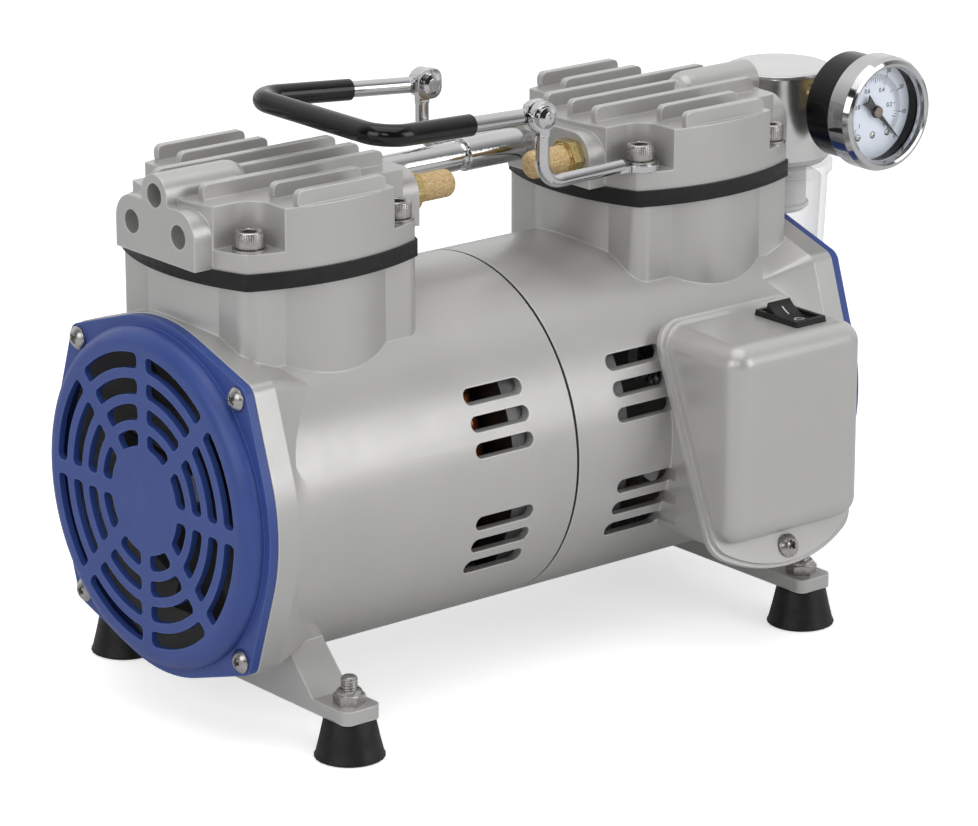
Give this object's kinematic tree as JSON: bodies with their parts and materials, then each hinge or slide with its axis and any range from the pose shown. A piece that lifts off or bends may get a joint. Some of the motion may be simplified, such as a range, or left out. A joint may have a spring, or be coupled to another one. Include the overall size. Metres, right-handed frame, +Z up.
{
  "type": "diaphragm vacuum pump",
  "caption": "Twin-head bench vacuum pump: finned heads on a cylindrical motor with slotted guards, folding handle, terminal box with switch, water trap and vacuum gauge.",
  "frame": {"origin": "on the bench under the middle of the machine's box", "axes": "+X along the motor shaft from the front guard to the trap, -Y is the side with the terminal box, +Z up"},
  "size_m": [0.3568, 0.18, 0.214],
  "materials": {
    "alloy": "machined aluminium",
    "bearing_steel": "ground steel",
    "black_plastic": "black switch moulding",
    "black_plate": "black coated plate",
    "black_rubber": "matt rubber",
    "blue_guard": "satin blue moulding",
    "box_grey": "satin grey moulding",
    "brass": "turned brass",
    "bronze": "sintered bronze beads",
    "cap_alloy": "fine satin aluminium",
    "capacitor_can": "white capacitor case",
    "chrome": "polished chrome plate",
    "clear_bowl": "clear polycarbonate",
    "copper": "enamelled copper wire",
    "dial_white": "white dial plate",
    "fan_plastic": "black moulded fan",
    "filter_white": "porous white element",
    "gauge_black": "gloss black case",
    "grey_casting": "satin silver-grey enamel on die-cast aluminium",
    "grip": "glossy black vinyl sleeve",
    "laminations": "stacked electrical steel",
    "lens": "clear lens",
    "pointer_black": "matt black pointer",
    "rotor_alloy": "die-cast aluminium",
    "steel": "bright zinc and stainless fasteners"
  },
  "bodies": {
    "frame": {"bowl_seal": "black_rubber", "capacitor": "capacitor_can", "cord_gland": "black_plastic", "cover_screw": "steel", "crossover_front": "chrome", "crossover_rear": "chrome", "filter_element": "filter_white", "foot_nuts": "steel", "foot_studs": "steel", "front_diaphragm": "black_rubber", "front_guard": "blue_guard", "front_head": "grey_casting", "front_housing": "grey_casting", "front_valve_plate": "black_plate", "gauge_bezel": "chrome", "gauge_case": "gauge_black", "gauge_dial": "dial_white", "gauge_lens": "lens", "gauge_stem": "brass", "guard_screws": "steel", "handle_posts": "chrome", "head_bolts": "steel", "head_washers": "steel", "housing_bolts": "steel", "main_bearings": "bearing_steel", "pivot_screws": "chrome", "rear_diaphragm": "black_rubber", "rear_guard": "blue_guard", "rear_head": "grey_casting", "rear_housing": "grey_casting", "rear_valve_plate": "black_plate", "rubber_feet": "black_rubber", "seam_gasket": "black_rubber", "silencer_bodies": "bronze", "silencer_nuts": "brass", "stator_core": "laminations", "switch_frame": "black_plastic", "terminal_cover": "box_grey", "trap_cap": "cap_alloy", "trap_fittings": "brass", "valve_reeds": "steel", "windings": "copper"},
    "shaft": {"motor_shaft": "bearing_steel", "rotor_core": "laminations", "rotor_rings": "rotor_alloy", "front_eccentric": "bearing_steel", "rear_eccentric": "bearing_steel", "front_fan": "fan_plastic", "rear_fan": "fan_plastic"},
    "front_rod": {"front_rod": "alloy", "front_rod_bearing": "bearing_steel", "front_clamp_disc": "alloy"},
    "rear_rod": {"rear_rod": "alloy", "rear_rod_bearing": "bearing_steel", "rear_clamp_disc": "alloy"},
    "handle": {"handle_bar": "chrome", "handle_sleeve": "grip"},
    "rocker": {"switch_rocker": "black_plastic"},
    "pointer": {"gauge_pointer": "pointer_black"},
    "bowl": {"trap_bowl": "clear_bowl"}
  },
  "joints": [
    {"name": "shaft_spin", "type": "hinge", "parent": "frame", "child": "shaft", "pos_m": [-0.03365, 0.00895, 0.084], "axis": [1, 0, 0], "continuous": true},
    {"name": "front_rod_turn", "type": "hinge", "parent": "shaft", "child": "front_rod", "pos_m": [-0.12215, 0.00895, 0.087], "axis": [1, 0, 0], "continuous": true, "deforming": ["front_diaphragm"]},
    {"name": "rear_rod_turn", "type": "hinge", "parent": "shaft", "child": "rear_rod", "pos_m": [0.05485, 0.00895, 0.081], "axis": [1, 0, 0], "continuous": true, "deforming": ["rear_diaphragm"]},
    {"name": "handle_fold", "type": "hinge", "parent": "frame", "child": "handle", "pos_m": [-0.02595, 0.00895, 0.2052], "axis": [0, 1, 0], "range_deg": [-3, 175]},
    {"name": "switch_rock", "type": "hinge", "parent": "frame", "child": "rocker", "pos_m": [0.05635, -0.06905, 0.1218], "axis": [-1, 0, 0], "range_deg": [0, 24]},
    {"name": "bowl_off", "type": "slide", "parent": "frame", "child": "bowl", "axis": [0, 0, -1], "range_m": [0, 0.055]},
    {"name": "gauge_needle", "type": "hinge", "parent": "frame", "child": "pointer", "pos_m": [0.13385, -0.03305, 0.1835], "axis": [0, -1, 0], "range_deg": [0, 270]}
  ],
  "couplings": [
    {"joint": "front_rod_turn", "follows": "shaft_spin", "ratio": -1},
    {"joint": "rear_rod_turn", "follows": "shaft_spin", "ratio": -1}
  ]
}
